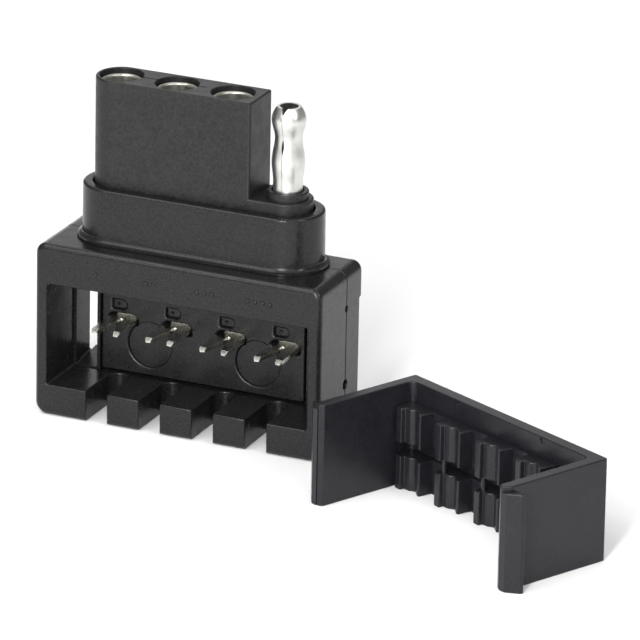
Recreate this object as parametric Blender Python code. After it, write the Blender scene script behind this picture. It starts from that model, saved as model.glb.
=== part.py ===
"""Trailer wiring connector with a splice housing and its detached wire cover.

Frame: +X along the housing, +Y from the wire side to the back, +Z up. The origin is the middle
of the housing's underside. Units are metres.
"""

from math import cos, pi, radians, sin

import bmesh
import bpy
from mathutils import Matrix, Vector

MM = 0.001
GAP = 0.3 * MM            # clearance between pieces that rest on or in each other
OVER = 1.0 * MM           # how far a cutter runs past the face it opens
ARC_STEPS = 6             # segments in a quarter circle

# Driving dimensions of the housing.
WIDTH = 57.0 * MM
DEPTH = 19.0 * MM
HEIGHT = 33.2 * MM
CORNER = 1.9 * MM         # round of the four long edges
EDGE = 1.1 * MM           # round of the front and back edges
WALL = 2.4 * MM
SEAM = 11.65 * MM         # depth of the front frame, measured from the front face
WINDOW_FLOOR = 6.0 * MM
WINDOW_TOP = 25.6 * MM

# Driving dimensions of the four ways.
WAYS = 4
PLUG_PITCH = 11.1 * MM
BLADE_PITCH = 10.85 * MM
COMB_PITCH = 10.65 * MM
PLUG_DEPTH = 11.3 * MM    # plug axis, measured from the front face

# Driving dimensions of the wire cover.
COVER_WIDTH = 51.6 * MM
COVER_HEIGHT = 19.3 * MM
ARM_LENGTH = 23.7 * MM
COVER_PLACE = Vector((69.1, -17.72, 0.0)) * MM
COVER_TURN = radians(-26.2)
POLE = Vector((32.516, -18.420, 0.0)) * MM

# Heights and depths that several pieces share.
FRONT = -DEPTH / 2
PLUG_Y = FRONT + PLUG_DEPTH
SEAM_Y = FRONT + SEAM
TONGUE_Y = FRONT + 13.0 * MM
SIDE_BACK_Y = FRONT + 17.4 * MM
INNER_X = WIDTH / 2 - WALL
SEAT_X = 20.8 * MM
PASSAGE_FLOOR = 7.3 * MM
SHELF_TOP = WINDOW_TOP + 1.6 * MM
CEILING = HEIGHT - 1.8 * MM
FLANGE_ROOM_X = 24.6 * MM  # half width of the room between the shelf and the ceiling
FLANGE_ROOM_Y = 6.5 * MM   # its half depth about the plug's axis
BLADE_Z = 16.3 * MM
STRIP = 0.8 * MM
RISER_Y = FRONT + 14.3 * MM
RISER_WIDTH = 4.0 * MM
RISER_ROOM = 0.7 * MM      # half thickness of the slots that the risers stand in
BLOCK_FACE = FRONT + 12.0 * MM
BLOCK_BACK = FRONT + 16.6 * MM
PLUG_RADIUS = 4.74 * MM
PLUG_END_X = 1.5 * PLUG_PITCH
NECK_RADIUS = 5.8 * MM
LEDGE_Z = 45.8 * MM
PLUG_TOP_Z = 63.9 * MM
SOCKET_FLOOR_Z = 49.7 * MM
SLEEVE_OUTER = 3.7 * MM
SLEEVE_INNER = 3.2 * MM
FOOT_Z = SHELF_TOP + GAP
COLLAR_FLANGE_Z = FOOT_Z + 2.0 * MM


# ---------------------------------------------------------------- outlines

def arc(centre, radius, start, end, steps=ARC_STEPS):
    """Points on an arc, from the start angle to the end angle."""
    angles = [start + (end - start) * i / steps for i in range(steps + 1)]
    return [(centre[0] + radius * cos(a), centre[1] + radius * sin(a)) for a in angles]


def circle(centre, radius, sides=32):
    """A whole circle, as a polygon."""
    return arc(centre, radius, 0, 2 * pi * (sides - 1) / sides, sides - 1)


def rounded_rect(low, high, radius):
    """A rectangle between two corners, with its four corners rounded."""
    x0, y0 = low[0] + radius, low[1] + radius
    x1, y1 = high[0] - radius, high[1] - radius
    return (arc((x1, y1), radius, 0, pi / 2) + arc((x0, y1), radius, pi / 2, pi)
            + arc((x0, y0), radius, pi, 1.5 * pi) + arc((x1, y0), radius, 1.5 * pi, 2 * pi))


def stadium(end_x, y, radius):
    """Two half circles about (-end_x, y) and (end_x, y), joined by straight sides."""
    return rounded_rect((-end_x - radius, y - radius), (end_x + radius, y + radius), radius)


def ways(pitch):
    """The X positions of the four ways, symmetric about the middle."""
    return [(k - (WAYS - 1) / 2) * pitch for k in range(WAYS)]


# ---------------------------------------------------------------- solids

PLACE = {
    "X": lambda a, b, level: (level, a, b),
    "Y": lambda a, b, level: (a, level, b),
    "Z": lambda a, b, level: (a, b, level),
}


def stack(rings, axis="Z"):
    """A closed mesh through (outline, level) rings along an axis; all rings have equal counts."""
    bm = bmesh.new()
    loops = []
    for outline, level in rings:
        loops.append([bm.verts.new(PLACE[axis](a, b, level)) for a, b in outline])
    for lower, upper in zip(loops, loops[1:]):
        for i in range(len(lower)):
            j = (i + 1) % len(lower)
            bm.faces.new((lower[i], lower[j], upper[j], upper[i]))
    bm.faces.new(loops[0])
    bm.faces.new(loops[-1])
    bmesh.ops.remove_doubles(bm, verts=bm.verts, dist=0.001 * MM)
    bmesh.ops.recalc_face_normals(bm, faces=bm.faces)
    mesh = bpy.data.meshes.new("solid")
    bm.to_mesh(mesh)
    bm.free()
    return mesh


def prism(outline, low, high, axis="Z"):
    """An outline extruded between two levels along an axis."""
    return stack([(outline, low), (outline, high)], axis)


def box(low, high):
    """A box between two corners."""
    outline = [(low[0], low[1]), (high[0], low[1]), (high[0], high[1]), (low[0], high[1])]
    return prism(outline, low[2], high[2])


def turned(profile, slit, steps=32):
    """A split sleeve: a closed (radius, z) profile swept about Z, leaving a slit toward -Y."""
    bm = bmesh.new()
    start = -pi / 2 + slit
    sweep = 2 * pi - 2 * slit
    loops = []
    for i in range(steps + 1):
        a = start + sweep * i / steps
        loops.append([bm.verts.new((r * cos(a), r * sin(a), z)) for r, z in profile])
    for left, right in zip(loops, loops[1:]):
        for i in range(len(profile)):
            j = (i + 1) % len(profile)
            bm.faces.new((left[i], left[j], right[j], right[i]))
    bm.faces.new(loops[0])
    bm.faces.new(loops[-1])
    bmesh.ops.recalc_face_normals(bm, faces=bm.faces)
    mesh = bpy.data.meshes.new("sleeve")
    bm.to_mesh(mesh)
    bm.free()
    return mesh


def merged(meshes):
    """Several separate solids held in one mesh, for use as one cutter."""
    bm = bmesh.new()
    for mesh in meshes:
        bm.from_mesh(mesh)
    joined = bpy.data.meshes.new("cutters")
    bm.to_mesh(joined)
    bm.free()
    return joined


# ---------------------------------------------------------------- objects and materials

def material(name, colour, roughness, metallic=0.0):
    """A Principled material."""
    made = bpy.data.materials.new(name)
    made.use_nodes = True
    shader = made.node_tree.nodes["Principled BSDF"]
    shader.inputs["Base Color"].default_value = (*colour, 1.0)
    shader.inputs["Roughness"].default_value = roughness
    shader.inputs["Metallic"].default_value = metallic
    return made


def add(name, mesh, look=None, location=(0, 0, 0)):
    """Link a mesh as a named object, shaded smooth between its sharp edges."""
    made = bpy.data.objects.new(name, mesh)
    made.location = location
    bpy.context.scene.collection.objects.link(made)
    if look:
        mesh.materials.append(look)
        mesh.shade_smooth()
        mesh.set_sharp_from_angle(angle=radians(35))
    return made


def combine(target, mesh, operation):
    """Cut a mesh out of an object, or join it on, with an exact Boolean."""
    tool = add(f"{target.name}_tool", mesh, location=target.location)
    tool.hide_render = True
    tool.display_type = "WIRE"
    tool.parent = target.parent
    step = target.modifiers.new(operation.title(), "BOOLEAN")
    step.operation = operation
    step.solver = "EXACT"
    step.use_self = True
    step.object = tool


def cut(target, *meshes):
    """Cut solids out of an object."""
    combine(target, merged(meshes), "DIFFERENCE")


def join(target, *meshes):
    """Join solids onto an object."""
    combine(target, merged(meshes), "UNION")


# ---------------------------------------------------------------- housing

def housing_outline(inset=0.0):
    """The housing's section across Y, drawn in by an inset."""
    low = (-WIDTH / 2 + inset, inset)
    high = (WIDTH / 2 - inset, HEIGHT - inset)
    return rounded_rect(low, high, CORNER - inset * 0.6)


def rounded_end(at, sign):
    """Rings that round the housing's edge at one end; sign points into the housing."""
    rings = []
    for a in (0, pi / 6, pi / 3, pi / 2):
        inset = EDGE * (1 - sin(a))
        rings.append((housing_outline(inset), at + sign * EDGE * (1 - cos(a))))
    return rings


def collar_opening():
    """The hole in the top wall that the collar's neck passes through."""
    return prism(stadium(PLUG_END_X, PLUG_Y, NECK_RADIUS + GAP), CEILING - OVER, HEIGHT + OVER)


def flange_room(start, end):
    """The room under the top wall for the flanges of the collar and the plug."""
    return box((-FLANGE_ROOM_X, start, SHELF_TOP), (FLANGE_ROOM_X, end, CEILING))


def comb_slot(x):
    """One wire slot of the comb floor, with a round inner end."""
    radius = 2.1 * MM
    inner_end = FRONT + 11.5 * MM
    outline = [(x - radius, FRONT - OVER), (x + radius, FRONT - OVER)]
    outline += arc((x, inner_end - radius), radius, 0, pi)
    return prism(outline, -OVER, WINDOW_FLOOR + OVER)


def number_pips(x, count):
    """Raised pips on the front band that number one way."""
    pitch = 1.5 * MM
    radius = 0.45 * MM
    proud = 0.25 * MM
    height = 28.9 * MM
    pips = []
    for i in range(count):
        centre = (x + (i - (count - 1) / 2) * pitch, height)
        pips.append(prism(circle(centre, radius, 8), FRONT - proud, FRONT + OVER, "Y"))
    return pips


def make_front_frame(look):
    """The front half of the housing: side walls, top band and comb floor."""
    rings = rounded_end(FRONT, 1) + [(housing_outline(), SEAM_Y)]
    frame = add("front_frame", stack(rings, "Y"), look)
    tongue_x = SEAT_X - 0.5 * MM
    tongue_lift = 0.4 * MM
    join(frame, box((-tongue_x, SEAM_Y - OVER, tongue_lift), (tongue_x, TONGUE_Y, WINDOW_FLOOR)))
    window_corner = 0.5 * MM
    window = rounded_rect((-INNER_X, WINDOW_FLOOR), (INNER_X, WINDOW_TOP), window_corner)
    slots = [comb_slot(x) for x in ways(COMB_PITCH)]
    room = flange_room(PLUG_Y - FLANGE_ROOM_Y, TONGUE_Y + OVER)
    cut(frame, prism(window, FRONT - OVER, TONGUE_Y + OVER, "Y"), *slots, room)
    cut(frame, collar_opening())
    for number, x in enumerate(ways(BLADE_PITCH), 1):
        join(frame, *number_pips(x, number))


def make_rear_shell(look):
    """The back half of the housing: seat of the terminal block and the two arm passages."""
    start = SEAM_Y + GAP
    rings = [(housing_outline(), start)] + rounded_end(-FRONT, -1)[::-1]
    shell = add("rear_shell", stack(rings, "Y"), look)
    seat = box((-SEAT_X, start - OVER, WINDOW_FLOOR), (SEAT_X, BLOCK_BACK + GAP, CEILING))
    tongue_room = box((-SEAT_X, start - OVER, -OVER),
                      (SEAT_X, TONGUE_Y + GAP, WINDOW_FLOOR + OVER))
    cut(shell, seat)
    cut(shell, tongue_room)
    cut(shell, flange_room(start - OVER, PLUG_Y + FLANGE_ROOM_Y))
    cut(shell, collar_opening())
    latch_low, latch_high = WINDOW_FLOOR - 0.5 * MM, WINDOW_TOP + 0.9 * MM
    for side in (-1, 1):
        low_x, high_x = sorted((side * (SEAT_X - GAP), side * INNER_X))
        passage = box((low_x, start - OVER, PASSAGE_FLOOR), (high_x, -FRONT + OVER, WINDOW_TOP))
        low_x, high_x = sorted((side * (INNER_X - OVER), side * (WIDTH / 2 + OVER)))
        latch_room = box((low_x, SIDE_BACK_Y, latch_low), (high_x, -FRONT + OVER, latch_high))
        cut(shell, passage)
        cut(shell, latch_room)


def make_terminal_block(look):
    """The insert that holds the four terminals, behind the window."""
    side = SEAT_X - GAP
    top = WINDOW_TOP - GAP
    outline = rounded_rect((-side, WINDOW_FLOOR + GAP), (side, top), 0.5 * MM)
    block = add("terminal_block", prism(outline, BLOCK_FACE, BLOCK_BACK, "Y"), look)
    pocket_x, pocket_z, pocket_corner = 3.0 * MM, 1.05 * MM, 0.7 * MM
    riser_x = RISER_WIDTH / 2 + GAP
    for x in ways(BLADE_PITCH):
        pocket = rounded_rect((x - pocket_x, BLADE_Z - pocket_z),
                              (x + pocket_x, BLADE_Z + pocket_z), pocket_corner)
        riser = box((x - riser_x, RISER_Y - RISER_ROOM, BLADE_Z - STRIP),
                    (x + riser_x, RISER_Y + RISER_ROOM, top + OVER))
        cut(block, prism(pocket, BLOCK_FACE - OVER, RISER_Y + RISER_ROOM, "Y"))
        cut(block, riser)
    disc_z, disc_radius, disc_depth = 12.2 * MM, 2.6 * MM, 0.4 * MM
    for x in (-BLADE_PITCH, BLADE_PITCH):
        disc = circle((x, disc_z), disc_radius)
        cut(block, prism(disc, BLOCK_FACE - OVER, BLOCK_FACE + disc_depth, "Y"))


# ---------------------------------------------------------------- plug and collar

def make_collar(look):
    """The stadium ring round the plug's foot, with a neck and end tabs inside the housing."""
    base = HEIGHT + GAP
    rim = 43.7 * MM
    rim_round = 0.5 * MM
    inner = PLUG_RADIUS + GAP
    flange = stadium(PLUG_END_X + 1.4 * MM, PLUG_Y, 6.15 * MM)
    neck = stadium(PLUG_END_X, PLUG_Y, NECK_RADIUS)

    def ring(radius):
        return stadium(PLUG_END_X, PLUG_Y, radius)

    rings = [
        (flange, COLLAR_FLANGE_Z),
        (flange, CEILING - GAP),
        (neck, CEILING - GAP),
        (neck, base),
        (ring(7.75 * MM), base),
        (ring(7.35 * MM), base + 0.35 * MM),
        (ring(7.2 * MM), base + 0.9 * MM),
        (ring(7.0 * MM), rim - rim_round),
        (ring(7.0 * MM - rim_round), rim),
    ]
    collar = add("collar", stack(rings), look)
    cut(collar, prism(ring(inner), COLLAR_FLANGE_Z - OVER, rim + OVER))


def plug_head_outline(inset=0.0):
    """The plug head's outline: a half-round end at the left and a flat end at the right."""
    flat_x = 11.1 * MM - inset
    radius = PLUG_RADIUS - inset
    outline = [(flat_x, PLUG_Y - radius), (flat_x, PLUG_Y + radius)]
    return outline + arc((-PLUG_END_X, PLUG_Y), radius, pi / 2, 1.5 * pi, 2 * ARC_STEPS)


def make_plug_body(look):
    """The moulded plug: foot flange, round-ended ledge, pin boss and three-socket head."""
    foot = stadium(PLUG_END_X, PLUG_Y, 6.0 * MM)
    body = stadium(PLUG_END_X, PLUG_Y, PLUG_RADIUS)
    foot_top = COLLAR_FLANGE_Z - GAP
    plug = add("plug_body", stack([(foot, FOOT_Z), (foot, foot_top), (body, foot_top),
                                   (body, LEDGE_Z)]), look)
    edge = 0.3 * MM
    head = stack([(plug_head_outline(), LEDGE_Z - OVER), (plug_head_outline(), PLUG_TOP_Z - edge),
                  (plug_head_outline(edge), PLUG_TOP_Z)])
    boss_radius, boss_height = 3.85 * MM, 1.4 * MM
    boss = circle((PLUG_END_X, PLUG_Y), boss_radius)
    join(plug, head)
    join(plug, prism(boss, LEDGE_Z - OVER, LEDGE_Z + boss_height))
    riser_x = RISER_WIDTH / 2 + GAP
    for k, x in enumerate(ways(PLUG_PITCH)):
        is_pin = k == WAYS - 1
        floor = PIN_BASE_Z - GAP if is_pin else SOCKET_FLOOR_Z
        radius = PIN_RADII[0][1] + GAP if is_pin else SLEEVE_OUTER + GAP
        strip_x = ways(BLADE_PITCH)[k]
        riser = box((strip_x - riser_x, RISER_Y - RISER_ROOM, FOOT_Z - OVER),
                    (strip_x + riser_x, RISER_Y + RISER_ROOM, floor + 0.2 * MM))
        cut(plug, prism(circle((x, PLUG_Y), radius), floor, PLUG_TOP_Z + OVER))
        cut(plug, riser)


# ---------------------------------------------------------------- contacts

PIN_BASE_Z = 44.6 * MM
PIN_WALL = 0.55 * MM
# Height and outer radius of the bullet pin where its curve turns.
PIN_RADII = [(44.6 * MM, 2.70 * MM), (48.6 * MM, 2.70 * MM), (52.6 * MM, 3.03 * MM),
             (57.1 * MM, 2.50 * MM), (60.6 * MM, 3.15 * MM)]
PIN_RIM = (63.0 * MM, 2.20 * MM)


def pin_radius(z):
    """Outer radius of the pin at a height, easing between the turning points."""
    for (z0, r0), (z1, r1) in zip(PIN_RADII, PIN_RADII[1:]):
        if z <= z1:
            t = (z - z0) / (z1 - z0)
            return r0 + (r1 - r0) * (1 - cos(pi * t)) / 2
    z0, r0 = PIN_RADII[-1]
    z1, r1 = PIN_RIM
    return r1 + (r0 - r1) * cos(pi / 2 * (z - z0) / (z1 - z0))


def make_bullet_pin(look):
    """The hollow split pin, with the V mouth and the lens-shaped gap in its seam."""
    steps = 18
    levels = [PIN_BASE_Z + (PIN_RIM[0] - PIN_BASE_Z) * i / steps for i in range(steps + 1)]
    outer = [(pin_radius(z), z) for z in levels]
    inner = [(max(r - PIN_WALL, 1.5 * MM), z) for r, z in reversed(outer)]
    pin = add("bullet_pin", turned(outer + inner, radians(3.5)), look,
              (PLUG_END_X, PLUG_Y, 0))
    notch_top = PIN_RIM[0] + OVER
    notch = [(-1.3 * MM, notch_top), (0, PIN_RIM[0] - 1.2 * MM), (1.3 * MM, notch_top)]
    lens_z = 55.9 * MM
    lens_radius = 4.6 * MM
    lens_half = radians(20)
    lens = arc((-lens_radius * cos(lens_half) + 0.06 * MM, lens_z), lens_radius,
               -lens_half, lens_half)
    lens += arc((lens_radius * cos(lens_half) - 0.06 * MM, lens_z), lens_radius,
                pi - lens_half, pi + lens_half)
    cut(pin, prism(notch, -5 * MM, 0, "Y"), prism(lens, -5 * MM, 0, "Y"))


def make_socket_sleeve(number, x, look):
    """One split contact sleeve inside a socket."""
    low, high = SOCKET_FLOOR_Z + GAP, PLUG_TOP_Z - 0.7 * MM
    lead = 0.25 * MM
    profile = [(SLEEVE_OUTER, low), (SLEEVE_OUTER, high), (SLEEVE_INNER + lead, high),
               (SLEEVE_INNER, high - lead), (SLEEVE_INNER, low)]
    add(f"socket_sleeve_{number}", turned(profile, radians(3)), look, (x, PLUG_Y, 0))


def make_terminal(number, x, top, look):
    """One splice terminal: a forked blade toward the wires and a riser up into the plug."""
    tip = FRONT + 4.0 * MM
    half = 2.6 * MM
    prong = 0.85 * MM
    back = RISER_Y + STRIP / 2
    mouth_end = tip + 5.4 * MM
    slot = 0.35 * MM
    left = [(-half, back), (-half, tip + 0.5 * MM), (-half + 0.3 * MM, tip),
            (-half + prong, tip + 0.2 * MM), (-slot, mouth_end), (-slot, tip + 7.5 * MM)]
    outline = left + [(-u, v) for u, v in reversed(left)]
    outline = [(x + u, v) for u, v in outline]
    blade = add(f"splice_terminal_{number}",
                prism(outline, BLADE_Z - STRIP / 2, BLADE_Z + STRIP / 2), look)
    join(blade, box((x - RISER_WIDTH / 2, RISER_Y - STRIP / 2, BLADE_Z),
                    (x + RISER_WIDTH / 2, back, top)))


def make_contacts(steel, plating):
    """The four terminals, three sleeves and the pin."""
    for number, x in enumerate(ways(PLUG_PITCH)[:-1], 1):
        make_socket_sleeve(number, x, steel)
    make_bullet_pin(plating)
    for number, x in enumerate(ways(BLADE_PITCH), 1):
        top = (PIN_BASE_Z if number == WAYS else SOCKET_FLOOR_Z) - 2 * GAP
        make_terminal(number, x, top, plating)


# ---------------------------------------------------------------- wire cover

PLATE = 2.5 * MM
ARM = 2.2 * MM
SADDLE_WIDTH = 6.5 * MM
SADDLE_PITCH = 10.7 * MM
SADDLE_FIRST_X = -19.9 * MM
SADDLE_TIP = 6.6 * MM
SADDLE_ROWS = ((0.0, 6.4 * MM), (8.9 * MM, 15.6 * MM))


def cover_outline():
    """The cover in plan: back plate and two arms that end in outward barbs."""
    half = COVER_WIDTH / 2
    inside = half - ARM
    fillet = 1.3 * MM
    right = [(half, 0), (half, -ARM_LENGTH + 1.5 * MM), (inside + 1.0 * MM, -ARM_LENGTH),
             (inside, -ARM_LENGTH + 0.6 * MM), (inside, -PLATE - fillet),
             (inside - fillet, -PLATE)]
    return right + [(-x, y) for x, y in reversed(right)]


def barb(side):
    """The wedge on the outside of one arm's end."""
    half = COVER_WIDTH / 2
    outline = [(half - OVER, -21.3 * MM), (half + 2.7 * MM, -21.3 * MM),
               (half + 2.5 * MM, -21.9 * MM), (half + 0.5 * MM, -ARM_LENGTH),
               (half - OVER, -ARM_LENGTH)]
    return prism([(side * x, y) for x, y in outline], 0, COVER_HEIGHT - 0.9 * MM)


def saddle_outline(x):
    """One wire saddle in plan: two horns with a low ridge between two grooves."""
    half = SADDLE_WIDTH / 2
    root = 0.35 * MM
    right = [(half + root, -PLATE + OVER), (half, -SADDLE_TIP), (half - 1.1 * MM, -SADDLE_TIP),
             (half - 1.7 * MM, -SADDLE_TIP + 1.0 * MM), (half - 2.3 * MM, -SADDLE_TIP + 0.8 * MM),
             (0.5 * MM, -SADDLE_TIP + 0.4 * MM)]
    outline = right + [(-u, v) for u, v in reversed(right)]
    return [(x + u, v) for u, v in outline]


def make_wire_cover(look):
    """The clip-on cover, standing turned beside the housing, with its origin on the pole."""
    pole = bpy.data.objects.new("cover_pole", None)
    pole.location = POLE
    bpy.context.scene.collection.objects.link(pole)
    cover = add("wire_cover", prism(cover_outline(), 0, COVER_HEIGHT), look)
    cover.parent = pole
    saddles = [SADDLE_FIRST_X + i * SADDLE_PITCH for i in range(WAYS)]
    for low, high in SADDLE_ROWS:
        pad = box((-COVER_WIDTH / 2 + ARM - OVER, -PLATE - 1.1 * MM, low),
                  (saddles[-1] + SADDLE_WIDTH / 2 - OVER, -PLATE + OVER, high))
        join(cover, pad)
        join(cover, *[prism(saddle_outline(x), low, high) for x in saddles])
    join(cover, barb(-1), barb(1))
    place = Matrix.Translation(COVER_PLACE - POLE) @ Matrix.Rotation(COVER_TURN, 4, "Z")
    cover.data.transform(place)
    for step in cover.modifiers:
        step.object.data.transform(place)


# ---------------------------------------------------------------- build

def main():
    for old in list(bpy.data.objects):
        bpy.data.objects.remove(old, do_unlink=True)
    housing_plastic = material("housing_plastic", (0.045, 0.045, 0.048), 0.45)
    plug_plastic = material("plug_plastic", (0.040, 0.040, 0.043), 0.5)
    insert_plastic = material("insert_plastic", (0.035, 0.035, 0.038), 0.5)
    cover_plastic = material("cover_plastic", (0.050, 0.050, 0.055), 0.42)
    sleeve_metal = material("sleeve_metal", (0.62, 0.62, 0.58), 0.25, 1.0)
    bright_plating = material("bright_plating", (0.85, 0.85, 0.84), 0.18, 1.0)
    make_front_frame(housing_plastic)
    make_rear_shell(housing_plastic)
    make_terminal_block(insert_plastic)
    make_collar(housing_plastic)
    make_plug_body(plug_plastic)
    make_contacts(sleeve_metal, bright_plating)
    make_wire_cover(cover_plastic)


main()
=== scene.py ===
from math import atan2, cos, hypot, pi, radians, sin, tan

import bmesh
import bpy
from mathutils import Matrix, Vector


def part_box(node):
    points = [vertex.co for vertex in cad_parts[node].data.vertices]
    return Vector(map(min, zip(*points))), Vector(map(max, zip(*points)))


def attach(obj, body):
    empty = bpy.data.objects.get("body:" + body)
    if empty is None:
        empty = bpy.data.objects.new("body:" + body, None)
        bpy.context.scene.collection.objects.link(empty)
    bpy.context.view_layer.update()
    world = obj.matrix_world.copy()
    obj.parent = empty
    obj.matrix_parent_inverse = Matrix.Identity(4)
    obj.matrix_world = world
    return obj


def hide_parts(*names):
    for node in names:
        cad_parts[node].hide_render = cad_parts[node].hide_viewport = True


# Looks of a trailer wiring connector: a four-way flat plug on a splice housing, and its loose
# wire cover. Units are metres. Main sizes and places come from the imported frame.

MM = 0.001
OVER = 1.0 * MM            # how far a cutter runs past the face it opens
SMOOTH_ANGLE = radians(32)

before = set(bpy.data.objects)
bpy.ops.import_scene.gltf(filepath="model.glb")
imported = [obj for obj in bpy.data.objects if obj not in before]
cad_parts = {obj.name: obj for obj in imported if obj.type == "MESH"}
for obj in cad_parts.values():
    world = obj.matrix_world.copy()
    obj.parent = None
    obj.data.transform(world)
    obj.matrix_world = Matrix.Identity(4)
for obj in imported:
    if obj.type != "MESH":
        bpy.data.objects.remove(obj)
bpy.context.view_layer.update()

# ---------------------------------------------------------------- sizes read from the frame

_, shell_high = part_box("rear_shell")
_, frame_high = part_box("front_frame")
block_low, block_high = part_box("terminal_block")
collar_low, collar_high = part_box("collar")
plug_low, plug_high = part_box("plug_body")
pin_low, pin_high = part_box("bullet_pin")
_, cover_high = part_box("wire_cover")

HALF_WIDTH = shell_high.x
BACK = shell_high.y
FRONT = -BACK
TOP = shell_high.z
TONGUE_Y = frame_high.y
PLUG_TOP_Z = plug_high.z
RIM_Z = collar_high.z
PLUG_Y = (collar_low.y + collar_high.y) / 2

# Driving dimensions of the housing.
CORNER = 1.9 * MM          # round of the two long top edges
LOW_CORNER = 2.4 * MM      # round of the two long bottom edges
EDGE = 1.1 * MM            # round of the front and back edges
SOFT = 0.3 * MM            # small round of moulded edges
SEAM_Y = FRONT + 11.65 * MM
SEAM_GAP = 0.12 * MM
INNER_X = HALF_WIDTH - 2.4 * MM
WINDOW_FLOOR = 6.0 * MM
WINDOW_TOP = 25.6 * MM
SHELF_TOP = WINDOW_TOP + 1.6 * MM
CEILING = TOP - 1.8 * MM
SEAT_X = 20.8 * MM
PASSAGE_FLOOR = 7.3 * MM
SIDE_BACK_Y = FRONT + 17.4 * MM
BLADE_Z = 16.3 * MM        # height of the blades in the window
SEAM_EASE = 0.18 * MM      # small round on both edges of the seam
FLANGE_ROOM_X = 24.6 * MM  # half the width of the room under the top wall
FLANGE_ROOM_Y = 6.5 * MM   # half its depth
NECK_HOLE = 6.1 * MM       # radius of the ends of the hole for the collar's neck

# Driving dimensions of the four ways.
WAYS = 4
PLUG_PITCH = 11.1 * MM
BLADE_PITCH = 10.85 * MM
COMB_PITCH = 10.65 * MM
PLUG_END_X = 1.5 * PLUG_PITCH
PLUG_RADIUS = 4.74 * MM
PLUG_FLAT_X = PLUG_PITCH   # where the plug head ends, beside the pin
LEDGE_Z = 45.8 * MM
BOSS_TOP = LEDGE_Z + 1.4 * MM
SOCKET_RADIUS = 4.0 * MM
SOCKET_FLOOR = 49.7 * MM
GAP = 0.3 * MM             # clearance between parts that are stacked or slid together

# The loose cover, in its own frame: +X along the plate, arms toward -Y.
COVER_PLACE = Vector((69.1, -17.72, 0.0)) * MM
COVER_TURN = radians(-26.2)
COVER_HALF = 25.8 * MM
COVER_HEIGHT = cover_high.z
ARM_LENGTH = 23.7 * MM
ARM = 2.2 * MM             # thickness of the arms
PLATE = 2.5 * MM           # thickness of the back plate


def ways(pitch):
    """The X positions of the four ways, symmetric about the middle."""
    return [(k - (WAYS - 1) / 2) * pitch for k in range(WAYS)]


# ---------------------------------------------------------------- outlines

def arc(centre, radius, start, end, steps=10):
    """Points on an arc, from the start angle to the end angle."""
    angles = [start + (end - start) * i / steps for i in range(steps + 1)]
    return [(centre[0] + radius * cos(a), centre[1] + radius * sin(a)) for a in angles]


def distinct(outline):
    """An outline without points that repeat the one before."""
    return [point for i, point in enumerate(outline)
            if hypot(point[0] - outline[i - 1][0], point[1] - outline[i - 1][1]) > 1e-7]


def circle(centre, radius, sides=56):
    """A whole circle."""
    return arc(centre, radius, 0, 2 * pi * (sides - 1) / sides, sides - 1)


def rounded_rect(low, high, radius, steps=8):
    """A rectangle between two corners, with its four corners rounded."""
    x0, y0 = low[0] + radius, low[1] + radius
    x1, y1 = high[0] - radius, high[1] - radius
    corners = (((x1, y1), 0), ((x0, y1), 1), ((x0, y0), 2), ((x1, y0), 3))
    outline = []
    for centre, quarter in corners:
        outline += arc(centre, radius, quarter * pi / 2, (quarter + 1) * pi / 2, steps)
    return distinct(outline)


def stadium(end_x, y, radius, steps=14):
    """Two half circles about (-end_x, y) and (end_x, y), joined by straight sides."""
    low, high = (-end_x - radius, y - radius), (end_x + radius, y + radius)
    return rounded_rect(low, high, radius, steps)


def round_corners(points, steps=5):
    """A polygon given as (x, y, radius), with each corner rounded by its own radius."""
    outline = []
    count = len(points)
    for i, (x, y, radius) in enumerate(points):
        here = Vector((x, y))
        before = (Vector(points[i - 1][:2]) - here).normalized()
        after = (Vector(points[(i + 1) % count][:2]) - here).normalized()
        half = before.angle(after) / 2
        if radius <= 0 or half > radians(89.5):
            outline.append((x, y))
            continue
        reach = radius / tan(half)
        centre = here + (before + after).normalized() * (radius / sin(half))
        first, last = here + before * reach - centre, here + after * reach - centre
        start = atan2(first.y, first.x)
        sweep = (atan2(last.y, last.x) - start + pi) % (2 * pi) - pi
        outline += arc(centre, radius, start, start + sweep, steps)
    return distinct(outline)


def inset(outline, depth):
    """An outline drawn in by a depth, or out by a negative one, with mitred corners."""
    count = len(outline)
    area = sum(outline[i - 1][0] * outline[i][1] - outline[i][0] * outline[i - 1][1]
               for i in range(count))
    side = 1 if area > 0 else -1
    drawn = []
    for i, (x, y) in enumerate(outline):
        px, py = outline[i - 1]
        nx, ny = outline[(i + 1) % count]
        before, after = hypot(x - px, y - py), hypot(nx - x, ny - y)
        ax, ay = -(y - py) / before, (x - px) / before
        bx, by = -(ny - y) / after, (nx - x) / after
        miter = side * depth / max(1 + ax * bx + ay * by, 0.3)
        drawn.append((x + miter * (ax + bx), y + miter * (ay + by)))
    return drawn


# ---------------------------------------------------------------- solids

PLACE = {
    "X": lambda a, b, level: (level, a, b),
    "Y": lambda a, b, level: (a, level, b),
    "Z": lambda a, b, level: (a, b, level),
}


def lofted(rings, axis="Z", closed=False):
    """A mesh through (outline, level) rings; closed joins the last ring to the first."""
    bm = bmesh.new()
    loops = [[bm.verts.new(PLACE[axis](a, b, level)) for a, b in outline]
             for outline, level in rings]
    pairs = list(zip(loops, loops[1:]))
    if closed:
        pairs.append((loops[-1], loops[0]))
    for lower, upper in pairs:
        for i in range(len(lower)):
            j = (i + 1) % len(lower)
            bm.faces.new((lower[i], lower[j], upper[j], upper[i]))
    if not closed:
        bm.faces.new(loops[0])
        bm.faces.new(loops[-1])
    bmesh.ops.remove_doubles(bm, verts=bm.verts, dist=0.001 * MM)
    bmesh.ops.recalc_face_normals(bm, faces=bm.faces)
    mesh = bpy.data.meshes.new("solid")
    bm.to_mesh(mesh)
    bm.free()
    return mesh


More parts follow.
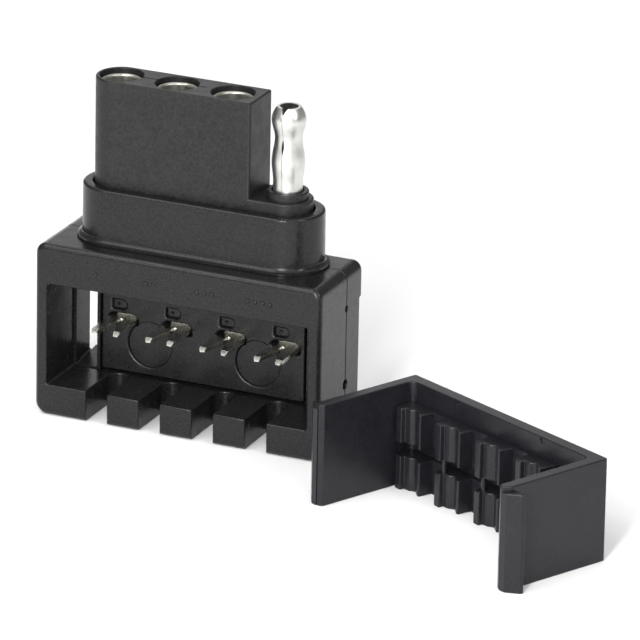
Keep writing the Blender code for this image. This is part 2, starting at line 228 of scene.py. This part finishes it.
def prism(outline, low, high, axis="Z", round_low=0.0, round_high=0.0, steps=4):
    """An outline extruded between two levels, with its end edges rounded."""
    turns = [pi / 2 * i / steps for i in range(steps + 1)]
    rings = [(outline, low)]
    if round_low:
        rings = [(inset(outline, round_low * (1 - sin(a))), low + round_low * (1 - cos(a)))
                 for a in turns]
    if round_high:
        rings += [(inset(outline, round_high * (1 - cos(a))), high - round_high * (1 - sin(a)))
                  for a in turns]
    else:
        rings.append((outline, high))
    return lofted(rings, axis)


def flare(outline, floor, face, radius, axis="Z", steps=4):
    """A cutter from a floor out through a face, whose rim leaves a rounded edge at the face."""
    sign = 1 if face > floor else -1
    rings = [(outline, floor)]
    for i in range(steps + 1):
        a = pi / 2 * i / steps
        widen = radius * (1 - cos(a))
        rings.append((inset(outline, -widen), face - sign * radius * (1 - sin(a))))
    rings.append((inset(outline, -radius), face + sign * OVER))
    return lofted(rings, axis)


def box(low, high):
    """A box between two corners."""
    outline = [(low[0], low[1]), (high[0], low[1]), (high[0], high[1]), (low[0], high[1])]
    return prism(outline, low[2], high[2])


def turned(profile, centre, slit=0.0, steps=72):
    """A closed (radius, z) profile swept about an upright axis, leaving a slit toward -Y."""
    bm = bmesh.new()
    start, sweep = -pi / 2 + slit, 2 * pi - 2 * slit
    loops = []
    for i in range(steps + 1):
        a = start + sweep * i / steps
        loops.append([bm.verts.new((centre[0] + r * cos(a), centre[1] + r * sin(a), z))
                      for r, z in profile])
    for left, right in zip(loops, loops[1:]):
        for i in range(len(profile)):
            j = (i + 1) % len(profile)
            bm.faces.new((left[i], left[j], right[j], right[i]))
    bm.faces.new(loops[0])
    bm.faces.new(loops[-1])
    bmesh.ops.recalc_face_normals(bm, faces=bm.faces)
    mesh = bpy.data.meshes.new("turned")
    bm.to_mesh(mesh)
    bm.free()
    return mesh


def boolean(base, operation, meshes):
    """The mesh of base with other closed meshes cut out of it or joined to it, one by one."""
    made = [bpy.data.objects.new("solid", mesh) for mesh in (base, *meshes)]
    for one in made:
        bpy.context.scene.collection.objects.link(one)
    for tool in made[1:]:
        step = made[0].modifiers.new(operation, "BOOLEAN")
        step.operation = operation
        step.solver = "MANIFOLD"
        step.object = tool
    graph = bpy.context.evaluated_depsgraph_get()
    result = bpy.data.meshes.new_from_object(made[0].evaluated_get(graph))
    for one in made:
        bpy.data.objects.remove(one)
    return result


def cut(base, *meshes):
    """Cut solids out of a mesh."""
    return boolean(base, "DIFFERENCE", meshes)


def join(base, *meshes):
    """Join solids onto a mesh."""
    return boolean(base, "UNION", meshes)


def piece(name, mesh, look, body, slot, *nodes):
    """Link a finished mesh as a visible piece that stands for its CAD nodes."""
    made = bpy.data.objects.new(name, mesh)
    bpy.context.scene.collection.objects.link(made)
    mesh.materials.clear()
    mesh.materials.append(look)
    mesh.shade_smooth()
    mesh.set_sharp_from_angle(angle=SMOOTH_ANGLE)
    normals = made.modifiers.new("normals", "WEIGHTED_NORMAL")
    normals.keep_sharp = True
    normals.weight = 80
    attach(made, body)
    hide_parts(*nodes)
    return made


# ---------------------------------------------------------------- materials

def new_material(name):
    """A material with its node tree, its Principled shader and object coordinates."""
    made = bpy.data.materials.new(name)
    made.use_nodes = True
    tree = made.node_tree
    shader = tree.nodes["Principled BSDF"]
    place = tree.nodes.new("ShaderNodeTexCoord").outputs["Object"]
    return made, tree, shader, place


def noise(tree, place, scale, detail=2.0, stretch=None):
    """A noise value; scale is in features per metre, and stretch scales each axis."""
    if stretch:
        mapping = tree.nodes.new("ShaderNodeMapping")
        mapping.inputs["Scale"].default_value = stretch
        tree.links.new(place, mapping.inputs["Vector"])
        place = mapping.outputs["Vector"]
    node = tree.nodes.new("ShaderNodeTexNoise")
    node.inputs["Scale"].default_value = scale
    node.inputs["Detail"].default_value = detail
    tree.links.new(place, node.inputs["Vector"])
    return node.outputs["Fac"]


def ramp(tree, value, low, high, start=0.3, end=0.7):
    """A colour or grey that runs from low to high as a value runs from start to end."""
    node = tree.nodes.new("ShaderNodeValToRGB")
    for element, place, colour in zip(node.color_ramp.elements, (start, end), (low, high)):
        element.position = place
        element.color = (*colour, 1.0) if isinstance(colour, tuple) else (colour,) * 3 + (1.0,)
    tree.links.new(value, node.inputs["Fac"])
    return node.outputs["Color"]


def bump(tree, height, depth, normal=None):
    """A bump whose depth is in metres, laid over another one if given."""
    node = tree.nodes.new("ShaderNodeBump")
    node.inputs["Strength"].default_value = 1.0
    node.inputs["Distance"].default_value = depth
    tree.links.new(height, node.inputs["Height"])
    if normal:
        tree.links.new(normal, node.inputs["Normal"])
    return node.outputs["Normal"]


PLASTIC_SHEEN = 0.31       # specular level that the black plastic shows in the photograph


def plastic(name, dark, light, gloss, grain_depth, grain_scale=3600.0):
    """Moulded black plastic: spark-eroded grain, slow flow marks and uneven gloss."""
    made, tree, shader, place = new_material(name)
    flow = noise(tree, place, 170.0, 3.0)
    speckle = noise(tree, place, 2200.0, 2.0)
    mixed = tree.nodes.new("ShaderNodeMix")
    mixed.data_type = "FLOAT"
    mixed.inputs["Factor"].default_value = 0.75
    tree.links.new(flow, mixed.inputs["A"])
    tree.links.new(speckle, mixed.inputs["B"])
    tone = ramp(tree, mixed.outputs["Result"], dark, light, 0.38, 0.62)
    tree.links.new(tone, shader.inputs["Base Color"])
    rough = ramp(tree, noise(tree, place, 420.0, 4.0), gloss - 0.05, gloss + 0.06)
    tree.links.new(rough, shader.inputs["Roughness"])
    grain = bump(tree, noise(tree, place, grain_scale), grain_depth)
    waves = bump(tree, noise(tree, place, 240.0, 1.0), grain_depth * 3.0, grain)
    tree.links.new(waves, shader.inputs["Normal"])
    shader.inputs["Specular IOR Level"].default_value = PLASTIC_SHEEN
    return made


def plated(name, dark, light, gloss, streak, depth):
    """Plated sheet metal: drawing lines, faint tarnish and uneven polish."""
    made, tree, shader, place = new_material(name)
    tarnish = noise(tree, place, 420.0, 3.0)
    tone = ramp(tree, tarnish, dark, light, 0.32, 0.56)
    tree.links.new(tone, shader.inputs["Base Color"])
    lines = noise(tree, place, 1.0, 2.0, streak)
    rough = ramp(tree, lines, gloss - 0.04, gloss + 0.08)
    tree.links.new(rough, shader.inputs["Roughness"])
    scored = bump(tree, lines, depth)
    dents = bump(tree, noise(tree, place, 500.0, 1.0), depth * 2.0, scored)
    tree.links.new(dents, shader.inputs["Normal"])
    shader.inputs["Metallic"].default_value = 1.0
    return made


# ---------------------------------------------------------------- housing

def housing_outline():
    """The housing's section across Y."""
    return round_corners([(HALF_WIDTH, 0, LOW_CORNER), (HALF_WIDTH, TOP, CORNER),
                          (-HALF_WIDTH, TOP, CORNER), (-HALF_WIDTH, 0, LOW_CORNER)], 8)


def collar_opening():
    """The hole in the top wall that the collar's neck passes through."""
    return prism(stadium(PLUG_END_X, PLUG_Y, NECK_HOLE), CEILING - OVER, TOP + OVER)


def flange_room(start, end):
    """The room under the top wall for the flanges of the collar and the plug."""
    return box((-FLANGE_ROOM_X, start, SHELF_TOP), (FLANGE_ROOM_X, end, CEILING))


def comb_slot(x):
    """One wire slot of the comb floor: rounded mouth, round inner end, eased rims."""
    radius = 2.1 * MM
    mouth = 0.45 * MM
    inner_end = FRONT + 11.5 * MM
    outline = [(x - radius - mouth, FRONT - OVER)]
    outline += [(x + radius + mouth, FRONT - OVER)]
    outline += arc((x + radius + mouth, FRONT + mouth), mouth, 1.5 * pi, pi, 4)
    outline += arc((x, inner_end - radius), radius, 0, pi, 20)
    outline += arc((x - radius - mouth, FRONT + mouth), mouth, 2 * pi, 1.5 * pi, 4)
    outline = distinct(outline)
    middle = WINDOW_FLOOR / 2
    upper = flare(outline, middle, WINDOW_FLOOR, SOFT)
    lower = flare(outline, middle + 0.2 * MM, 0.0, SOFT)
    return [upper, lower]


def number_pips(x, count):
    """Domed pips on the front band that number one way."""
    pitch, radius, proud, dome = 1.5 * MM, 0.45 * MM, 0.25 * MM, 0.22 * MM
    height = 28.9 * MM
    pips = []
    for i in range(count):
        outline = circle((x + (i - (count - 1) / 2) * pitch, height), radius, 20)
        pips.append(prism(outline, FRONT - proud, FRONT + OVER, "Y", round_low=dome))
    return pips


def seam_notches():
    """Two small pits on the seam in each outer side."""
    depth, ease = 0.7 * MM, 0.15 * MM
    pits = []
    for side in (-1, 1):
        face = side * HALF_WIDTH
        for height, radius in ((26.0 * MM, 0.6 * MM), (11.4 * MM, 0.95 * MM)):
            outline = circle((SEAM_Y + SEAM_GAP / 2, height), radius, 20)
            pits.append(flare(outline, face - side * depth, face, ease, "X"))
    return pits


def make_front_frame(look):
    """The front half of the housing: side walls, top band and comb floor."""
    frame_mesh = prism(housing_outline(), FRONT, SEAM_Y, "Y", EDGE, SEAM_EASE, 6)
    tongue_x, tongue_floor = SEAT_X - 0.5 * MM, 0.4 * MM
    tongue = rounded_rect((-tongue_x, tongue_floor), (tongue_x, WINDOW_FLOOR), 0.2 * MM, 3)
    frame_mesh = join(frame_mesh, prism(tongue, SEAM_Y - OVER, TONGUE_Y, "Y", 0, 0.2 * MM))
    window = rounded_rect((-INNER_X, WINDOW_FLOOR), (INNER_X, WINDOW_TOP), 0.5 * MM, 4)
    slots = [cutter for x in ways(COMB_PITCH) for cutter in comb_slot(x)]
    frame_mesh = cut(frame_mesh, flare(window, TONGUE_Y + OVER, FRONT, 0.4 * MM, "Y"))
    frame_mesh = cut(frame_mesh, *slots)
    frame_mesh = cut(frame_mesh, flange_room(PLUG_Y - FLANGE_ROOM_Y, TONGUE_Y + OVER))
    frame_mesh = cut(frame_mesh, collar_opening(), *seam_notches())
    pips = [pip for number, x in enumerate(ways(BLADE_PITCH), 1)
            for pip in number_pips(x, number)]
    frame_mesh = join(frame_mesh, *pips)
    piece("front_frame_moulding", frame_mesh, look, "connector", "housing_plastic",
          "front_frame")


def arm_passage(side, start):
    """The way through for one arm of the cover, whose floor rises toward the back."""
    near, far = sorted((side * (SEAT_X + 0.6 * MM), side * (INNER_X - 0.5 * MM)))
    rings = []
    for y, floor in ((start, WINDOW_FLOOR + 0.05 * MM), (BACK + OVER, PASSAGE_FLOOR + 0.5 * MM)):
        rings.append((rounded_rect((near, floor), (far, WINDOW_TOP), 0.3 * MM, 3), y))
    return lofted(rings, "Y")


def make_rear_shell(look):
    """The back half of the housing: seat of the terminal block and the two arm passages."""
    start = SEAM_Y + SEAM_GAP
    seat_back = FRONT + 16.9 * MM
    latch_low, latch_high = 5.5 * MM, 26.5 * MM
    shell = prism(housing_outline(), start, BACK, "Y", SEAM_EASE, EDGE, 6)
    seat = box((-SEAT_X, start - OVER, WINDOW_FLOOR), (SEAT_X, seat_back, CEILING))
    tongue_room = box((-SEAT_X, start - OVER, -OVER),
                      (SEAT_X, TONGUE_Y + GAP, WINDOW_FLOOR + OVER))
    shell = cut(shell, seat)
    shell = cut(shell, tongue_room)
    shell = cut(shell, flange_room(start - OVER, PLUG_Y + FLANGE_ROOM_Y))
    shell = cut(shell, collar_opening(), *seam_notches())
    for side in (-1, 1):
        shell = cut(shell, arm_passage(side, start - OVER))
        near, far = sorted((side * (INNER_X - OVER), side * (HALF_WIDTH + OVER)))
        latch = rounded_rect((SIDE_BACK_Y, latch_low), (BACK + OVER * 2, latch_high),
                             0.35 * MM, 3)
        shell = cut(shell, prism(latch, near, far, "X"))
    piece("rear_shell_moulding", shell, look, "connector", "housing_plastic", "rear_shell")


def pocket_outline(x):
    """A blade's pocket in the terminal block: flat below, arched above."""
    half, low, high = 3.0 * MM, BLADE_Z - 1.05 * MM, BLADE_Z + 1.15 * MM
    tight, arch = 0.4 * MM, 1.3 * MM
    return round_corners([(x - half, low, tight), (x + half, low, tight),
                          (x + half, high, arch), (x - half, high, arch)])


def index_mark(x):
    """A shallow D-shaped recess above one blade."""
    left, right = x - 2.1 * MM, x + 0.5 * MM
    low, high = 18.3 * MM, 19.9 * MM
    tight, bow = 0.2 * MM, 0.78 * MM
    return round_corners([(left, low, tight), (right, low, bow),
                          (right, high, bow), (left, high, tight)])


def make_terminal_block(look):
    """The insert that holds the four terminals, behind the window."""
    face, back = block_low.y, block_high.y
    low, high = (block_low.x, block_low.z), (block_high.x - 0.3 * MM, block_high.z)
    disc_z, disc_radius, disc_floor = 12.2 * MM, 4.3 * MM, face + 0.5 * MM
    pocket_floor, mark_floor = face + 3.0 * MM, face + 0.7 * MM
    nub_z, nub_radius, nub_face = 19.0 * MM, 0.3 * MM, face + 0.25 * MM
    block = prism(rounded_rect(low, high, 0.5 * MM, 4), face, back, "Y", 0.25 * MM)
    discs, pockets, marks, nubs = [], [], [], []
    for x in (-BLADE_PITCH, BLADE_PITCH):
        disc = circle((x, disc_z), disc_radius)
        discs.append(flare(disc, disc_floor, face, 0.45 * MM, "Y", 6))
    for x in ways(BLADE_PITCH):
        pockets.append(flare(pocket_outline(x), pocket_floor, face, 0.4 * MM, "Y"))
        marks.append(flare(index_mark(x), mark_floor, face, 0.6 * MM, "Y", 6))
        nub = circle((x - 1.2 * MM, nub_z), nub_radius, 20)
        nubs.append(prism(nub, nub_face, face + OVER, "Y", 0.2 * MM))
    block = cut(block, *discs)
    block = cut(block, *pockets, *marks)
    block = join(block, *nubs)
    piece("terminal_block_moulding", block, look, "connector", "insert_plastic",
          "terminal_block")


# ---------------------------------------------------------------- plug and collar

def make_collar(look):
    """The stadium ring round the plug's foot, with a hollow flare at its base."""
    inner = PLUG_RADIUS + GAP
    base = TOP + 0.08 * MM
    lip = base + 0.3 * MM
    rim_inner, rim_outer = 0.3 * MM, 0.5 * MM
    flare_round = 0.95 * MM
    foot = 7.9 * MM
    wall_low, wall_high = 6.95 * MM, 6.9 * MM
    profile = [(inner, collar_low.z)]
    profile += [(inner + rim_inner * (1 - cos(a)), RIM_Z - rim_inner * (1 - sin(a)))
                for a in (0, pi / 6, pi / 3, pi / 2)]
    profile += [(wall_high - rim_outer * (1 - sin(a)), RIM_Z - rim_outer * (1 - cos(a)))
                for a in (0, pi / 8, pi / 4, 3 * pi / 8, pi / 2)]
    profile += [(wall_low + flare_round * (1 - cos(a)), lip + flare_round * (1 - sin(a)))
                for a in (0, pi / 10, pi / 5, 3 * pi / 10, 2 * pi / 5, pi / 2)]
    profile += [(foot, lip - 0.1 * MM), (foot, base)]
    neck, flange = 5.8 * MM, 6.15 * MM
    under = CEILING - GAP
    profile += [(neck, base), (neck, under), (flange, under), (flange, collar_low.z)]
    rings = [(stadium(PLUG_END_X, PLUG_Y, radius, 16), z) for radius, z in profile]
    piece("collar_moulding", lofted(rings, closed=True), look, "connector",
          "housing_plastic", "collar")


def plug_head_outline():
    """The plug head in plan: a half-round end at the left and a flat end at the right."""
    corner = 0.45 * MM
    low, high = PLUG_Y - PLUG_RADIUS, PLUG_Y + PLUG_RADIUS
    outline = arc((PLUG_FLAT_X - corner, low + corner), corner, -pi / 2, 0, 5)
    outline += arc((PLUG_FLAT_X - corner, high - corner), corner, 0, pi / 2, 5)
    outline += arc((-PLUG_END_X, PLUG_Y), PLUG_RADIUS, pi / 2, 1.5 * pi, 28)
    return distinct(outline)


def make_plug_body(look):
    """The moulded plug: round-ended ledge, pin boss and three-socket head."""
    foot = stadium(PLUG_END_X, PLUG_Y, 6.0 * MM)
    foot_top = collar_low.z - GAP
    plug = prism(stadium(PLUG_END_X, PLUG_Y, PLUG_RADIUS), foot_top - OVER, LEDGE_Z,
                 round_high=0.4 * MM)
    head = prism(plug_head_outline(), LEDGE_Z - OVER, PLUG_TOP_Z, round_high=0.35 * MM)
    boss = prism(circle((PLUG_END_X, PLUG_Y), 3.85 * MM), LEDGE_Z - OVER, BOSS_TOP,
                 round_high=0.3 * MM)
    plug = join(plug, prism(foot, plug_low.z, foot_top))
    plug = join(plug, head)
    plug = join(plug, boss)
    sockets = []
    for x in ways(PLUG_PITCH)[:-1]:
        hole = circle((x, PLUG_Y), SOCKET_RADIUS)
        sockets.append(flare(hole, SOCKET_FLOOR, PLUG_TOP_Z, 0.22 * MM))
    pin_hole = circle((PLUG_END_X, PLUG_Y), 2.95 * MM)
    sockets.append(flare(pin_hole, pin_low.z - GAP, BOSS_TOP, 0.15 * MM))
    groove_y, groove = PLUG_Y + 0.3 * MM, 0.16 * MM
    line = box((-PLUG_END_X, groove_y - groove, PLUG_TOP_Z - groove),
               (0, groove_y + groove, PLUG_TOP_Z + OVER))
    plug = cut(plug, *sockets)
    plug = cut(plug, line)
    piece("plug_moulding", plug, look, "connector", "plug_plastic", "plug_body")


# ---------------------------------------------------------------- contacts

PIN_WALL = 0.5 * MM
# Height and outer radius of the bullet pin where its curve turns.
PIN_RADII = [(44.6 * MM, 2.70 * MM), (48.6 * MM, 2.70 * MM), (52.6 * MM, 3.03 * MM),
             (57.1 * MM, 2.50 * MM), (60.6 * MM, 3.15 * MM)]
PIN_RIM_RADIUS = 2.2 * MM


def pin_radius(z):
    """Outer radius of the pin at a height, easing between the turning points."""
    for (z0, r0), (z1, r1) in zip(PIN_RADII, PIN_RADII[1:]):
        if z <= z1:
            t = (z - z0) / (z1 - z0)
            return r0 + (r1 - r0) * (1 - cos(pi * t)) / 2
    z0, r0 = PIN_RADII[-1]
    return PIN_RIM_RADIUS + (r0 - PIN_RIM_RADIUS) * cos(pi / 2 * (z - z0) / (pin_high.z - z0))


def make_bullet_pin(look):
    """The hollow split pin, with its V mouth and the lens-shaped gap in its seam."""
    steps = 40
    low, high = pin_low.z, pin_high.z
    levels = [low + (high - low) * i / steps for i in range(steps + 1)]
    outer = [(pin_radius(z), z) for z in levels]
    lip = (PIN_RIM_RADIUS - PIN_WALL * 0.35, high + 0.05 * MM)
    inner = [(max(r - PIN_WALL, 1.4 * MM), z) for r, z in reversed(outer)]
    pin = turned(outer + [lip] + inner, (PLUG_END_X, PLUG_Y), radians(0.7), 64)
    y0, y1 = PLUG_Y - 5 * MM, PLUG_Y
    notch = [(-1.1 * MM, high + OVER), (0, high - 1.15 * MM), (1.1 * MM, high + OVER)]
    notch = [(PLUG_END_X + u, z) for u, z in notch]
    lens_z, lens_radius, lens_half = 55.9 * MM, 4.6 * MM, radians(18)
    reach = lens_radius * cos(lens_half)
    lens = arc((PLUG_END_X - reach, lens_z), lens_radius, -lens_half, lens_half, 12)
    lens += arc((PLUG_END_X + reach, lens_z), lens_radius, pi - lens_half,
                pi + lens_half, 12)[1:-1]
    pin = cut(pin, prism(notch, y0, y1, "Y"))
    pin = cut(pin, prism(lens, y0, y1, "Y"))
    piece("bullet_pin_plated", pin, look, "connector", "bright_plating", "bullet_pin")


def make_socket_sleeve(number, x, look):
    """One rolled contact sleeve, whose mouth is flared into a rounded lip."""
    low, high = SOCKET_FLOOR + GAP, PLUG_TOP_Z - 0.95 * MM
    outer, inner, lead, lip = 3.75 * MM, 3.15 * MM, 0.45 * MM, 0.14 * MM
    profile = [(outer, low)]
    profile += arc((outer - lip, high - lip), lip, 0, pi / 2, 4)
    profile += [(inner + lead * (1 - sin(a)), high - lead * (1 - cos(a)))
                for a in (pi / 12, pi / 6, pi / 4, pi / 3, 5 * pi / 12, pi / 2)]
    profile.append((inner, low))
    sleeve = turned(profile, (x, PLUG_Y), radians(1.5))
    piece(f"socket_sleeve_{number}_rolled", sleeve, look, "connector", "sleeve_metal",
          f"socket_sleeve_{number}")


def make_terminal(number, x, look):
    """One splice terminal: a forked blade with sharpened tips, and its riser."""
    node = f"splice_terminal_{number}"
    low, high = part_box(node)
    strip = 0.8 * MM
    half = (high.x - low.x) / 2 + 0.2 * MM
    prong, slot = 1.2 * MM, 0.35 * MM
    tip, back = low.y, high.y
    left = [(-half, back, 0), (-half, tip + 0.5 * MM, 0.1 * MM),
            (-half + 0.3 * MM, tip, 0.15 * MM), (-half + prong, tip + 0.2 * MM, 0.15 * MM),
            (-slot, tip + 5.4 * MM, 0.3 * MM), (-slot, tip + 7.5 * MM, 0.3 * MM)]
    outline = left + [(-u, v, r) for u, v, r in reversed(left)]
    outline = round_corners([(x + u, v, r) for u, v, r in outline], 3)
    blade = prism(outline, low.z, low.z + strip, round_low=0.08 * MM, round_high=0.08 * MM,
                  steps=2)
    edge_z, top_z = low.z + strip * 0.1, low.z + strip
    wedge = [(tip - OVER, top_z + OVER), (tip - OVER, edge_z), (tip, edge_z),
             (tip + 0.75 * MM, top_z - 0.02 * MM), (tip + 1.1 * MM, top_z + OVER)]
    blade = cut(blade, prism(wedge, x - half - OVER, x + half + OVER, "X"))
    riser_half = 2.0 * MM
    riser = box((x - riser_half, back - strip, low.z + strip / 2),
                (x + riser_half, back, high.z))
    blade = join(blade, riser)
    piece(f"{node}_plated", blade, look, "connector", "bright_plating", node)


# ---------------------------------------------------------------- wire cover

def cover_outline():
    """The cover in plan: back plate and two arms with chamfered ends."""
    inside = COVER_HALF - ARM
    right = [(COVER_HALF, 0, 0.5 * MM), (COVER_HALF, -ARM_LENGTH + 1.4 * MM, 0.3 * MM),
             (inside + 1.0 * MM, -ARM_LENGTH, 0.3 * MM),
             (inside, -ARM_LENGTH + 0.6 * MM, 0.25 * MM), (inside, -PLATE, 1.3 * MM)]
    return round_corners(right + [(-x, y, r) for x, y, r in reversed(right)])


def barb(side):
    """The wedge on the outside of one arm's end."""
    half, shoulder = COVER_HALF, -21.3 * MM
    outline = [(half - OVER, shoulder, 0), (half + 2.7 * MM, shoulder, 0.15 * MM),
               (half + 2.4 * MM, -22.0 * MM, 0.3 * MM), (half + 0.2 * MM, -ARM_LENGTH, 0.3 * MM),
               (half - OVER, -ARM_LENGTH, 0)]
    outline = round_corners([(side * x, y, r) for x, y, r in outline])
    return prism(outline, 0, COVER_HEIGHT - 0.9 * MM, "Z", 0.15 * MM, 0.2 * MM)


def saddle_outline(x):
    """One wire saddle in plan: a wide horn, a stepped groove and a narrow horn."""
    root, half = PLATE / MM - 1.0, 3.65
    points = [(half, root, 0), (3.1, 6.6, 0.3), (2.6, 6.45, 0.25), (0.75, 5.3, 0.8),
              (-0.1, 6.05, 0.4), (-1.4, 6.1, 0.15), (-1.5, 7.0, 0.2), (-3.1, 6.9, 0.4),
              (-half, root, 0)]
    return round_corners([(x + u * MM, -v * MM, r * MM) for u, v, r in points], 4)


def make_wire_cover(look):
    """The clip-on cover, standing turned beside the housing."""
    cover = prism(cover_outline(), 0, COVER_HEIGHT, "Z", 0.25 * MM, 0.25 * MM)
    pitch, first = 10.7 * MM, -19.9 * MM
    saddles = [first + i * pitch for i in range(WAYS)]
    pad_start, pad_end = -COVER_HALF + ARM - OVER, saddles[-1] + 2.25 * MM
    pad_front = -PLATE - 1.1 * MM
    for low, high in ((0.0, 6.4 * MM), (8.9 * MM, 15.6 * MM)):
        cover = join(cover, box((pad_start, pad_front, low), (pad_end, -PLATE + OVER, high)))
        cover = join(cover, *[prism(saddle_outline(x), low, high, "Z", 0.2 * MM, 0.25 * MM)
                              for x in saddles])
    posts = [circle((x - 1.75 * MM, -5.7 * MM), 0.5 * MM, 16) for x in saddles[1:]]
    cover = join(cover, *[prism(post, 6.0 * MM, 9.3 * MM) for post in posts])
    cover = join(cover, barb(-1), barb(1))
    for x in (-11.16 * MM, 11.1 * MM):
        mark = circle((x, 18.6 * MM), 0.45 * MM, 20)
        cover = cut(cover, flare(mark, -PLATE + 0.25 * MM, -PLATE, 0.12 * MM, "Y"))
    cover.transform(Matrix.Translation(COVER_PLACE) @ Matrix.Rotation(COVER_TURN, 4, "Z"))
    piece("wire_cover_moulding", cover, look, "cover", "cover_plastic", "wire_cover")


# ---------------------------------------------------------------- stage, light and camera

CAMERA_TARGET = Vector((20.779, 7.951, 20.663)) * MM
CAMERA_DISTANCE = 1309.7 * MM
CAMERA_AZIMUTH = radians(23.611)
CAMERA_ELEVATION = radians(20.358)
CAMERA_ROLL = radians(1.128)
CAMERA_LENS = 404.63       # millimetres, on a sensor 36 mm wide
AMBIENT = 0.26             # grey of the world
FLOOR_RADIUS = 4.0
FLOOR_GREY = 0.95

# Each light's azimuth and elevation in degrees; distance, width and height in metres; and watts.
LIGHTS = {
    "overhead": (203, 88, 1.5, 2.0, 2.0, 8.5),
    "behind": (205, 45, 0.9, 0.5, 0.5, 0.9),
    "front_low": (9, 8, 0.9, 0.34, 0.34, 3.6),
    "front_strip": (9, 28, 0.9, 0.10, 0.7, 5.6),
    "right_strip": (70, 34, 0.9, 0.08, 0.5, 1.9),
    "front_left": (-20, 32, 0.9, 0.34, 0.34, 1.5),
    "upper_left": (-47, 58, 0.9, 0.34, 0.34, 1.4),
    "front_right": (40, 32, 0.9, 0.34, 0.34, 0.9),
    "back_left": (-150, 8, 0.9, 0.34, 0.34, 0.5),
}


def direction(azimuth, elevation):
    """A unit vector; azimuth 0 points along -Y, and 90 degrees along +X."""
    return Vector((sin(azimuth) * cos(elevation), -cos(azimuth) * cos(elevation),
                   sin(elevation)))


def make_camera():
    """The camera at the photograph's angle."""
    data = bpy.data.cameras.new("camera")
    data.sensor_width = 36.0
    data.lens = CAMERA_LENS
    data.clip_start, data.clip_end = 0.01, 20.0
    camera = bpy.data.objects.new("camera", data)
    bpy.context.scene.collection.objects.link(camera)
    back = direction(CAMERA_AZIMUTH, CAMERA_ELEVATION)
    level = Vector((cos(CAMERA_AZIMUTH), sin(CAMERA_AZIMUTH), 0.0))
    upright = back.cross(level)
    right = level * cos(CAMERA_ROLL) + upright * sin(CAMERA_ROLL)
    up = upright * cos(CAMERA_ROLL) - level * sin(CAMERA_ROLL)
    turn = Matrix((right, up, back)).transposed().to_4x4()
    camera.matrix_world = Matrix.Translation(CAMERA_TARGET + back * CAMERA_DISTANCE) @ turn
    bpy.context.scene.camera = camera


def softbox(name, azimuth, elevation, distance, width, height, power):
    """An upright rectangular area light that faces the object."""
    data = bpy.data.lights.new(name, "AREA")
    data.shape = "RECTANGLE"
    data.size, data.size_y = width, height
    data.energy = power
    light = bpy.data.objects.new(name, data)
    bpy.context.scene.collection.objects.link(light)
    away = direction(radians(azimuth), radians(elevation))
    light.location = CAMERA_TARGET + away * distance
    light.rotation_mode = "QUATERNION"
    light.rotation_quaternion = away.to_track_quat("Z", "Y")


def make_world():
    """Even, dim light all round."""
    world = bpy.data.worlds.new("studio")
    bpy.context.scene.world = world
    world.use_nodes = True
    background = world.node_tree.nodes["Background"]
    background.inputs["Color"].default_value = (AMBIENT, AMBIENT, AMBIENT, 1.0)


def make_stage():
    """A plain pale floor and soft studio light."""
    outline = circle((CAMERA_TARGET.x, CAMERA_TARGET.y), FLOOR_RADIUS, 64)
    floor = bpy.data.objects.new("floor", prism(outline, -0.02, -0.02 * MM))
    bpy.context.scene.collection.objects.link(floor)
    paper, _, shader, _ = new_material("pale_paper")
    shader.inputs["Base Color"].default_value = (FLOOR_GREY, FLOOR_GREY, FLOOR_GREY, 1.0)
    shader.inputs["Roughness"].default_value = 0.9
    shader.inputs["Specular IOR Level"].default_value = 0.0
    floor.data.materials.append(paper)
    make_world()
    for name, setting in LIGHTS.items():
        softbox(name, *setting)
    bpy.context.scene.view_settings.view_transform = "Standard"


# ---------------------------------------------------------------- build

housing_plastic = plastic("housing_plastic", (0.007, 0.007, 0.0074), (0.013, 0.013, 0.0137),
                          0.24, 0.010 * MM, 2800.0)
plug_plastic = plastic("plug_plastic", (0.007, 0.007, 0.0075), (0.0165, 0.0165, 0.0173),
                       0.42, 0.03 * MM, 2400.0)
insert_plastic = plastic("insert_plastic", (0.007, 0.007, 0.0075), (0.012, 0.012, 0.0128),
                         0.27, 0.004 * MM)
cover_plastic = plastic("cover_plastic", (0.008, 0.008, 0.0101), (0.0135, 0.0135, 0.0167),
                        0.32, 0.006 * MM)
drawn_upright = (1500.0, 1500.0, 150.0)
drawn_forward = (600.0, 150.0, 600.0)
sleeve_metal = plated("sleeve_metal", (0.40, 0.39, 0.34), (0.56, 0.55, 0.50), 0.38,
                      drawn_upright, 0.0006 * MM)
bright_plating = plated("bright_plating", (0.62, 0.62, 0.59), (0.70, 0.70, 0.67), 0.34,
                        drawn_upright, 0.0006 * MM)
blade_plating = plated("blade_plating", (0.62, 0.61, 0.54), (0.74, 0.73, 0.67), 0.26,
                       drawn_forward, 0.0002 * MM)

make_camera()
make_stage()
make_front_frame(housing_plastic)
make_rear_shell(housing_plastic)
make_terminal_block(insert_plastic)
make_collar(housing_plastic)
make_plug_body(plug_plastic)
make_bullet_pin(bright_plating)
for sleeve_number, sleeve_x in enumerate(ways(PLUG_PITCH)[:-1], 1):
    make_socket_sleeve(sleeve_number, sleeve_x, sleeve_metal)
for blade_number, blade_x in enumerate(ways(BLADE_PITCH), 1):
    make_terminal(blade_number, blade_x, blade_plating)
make_wire_cover(cover_plastic)
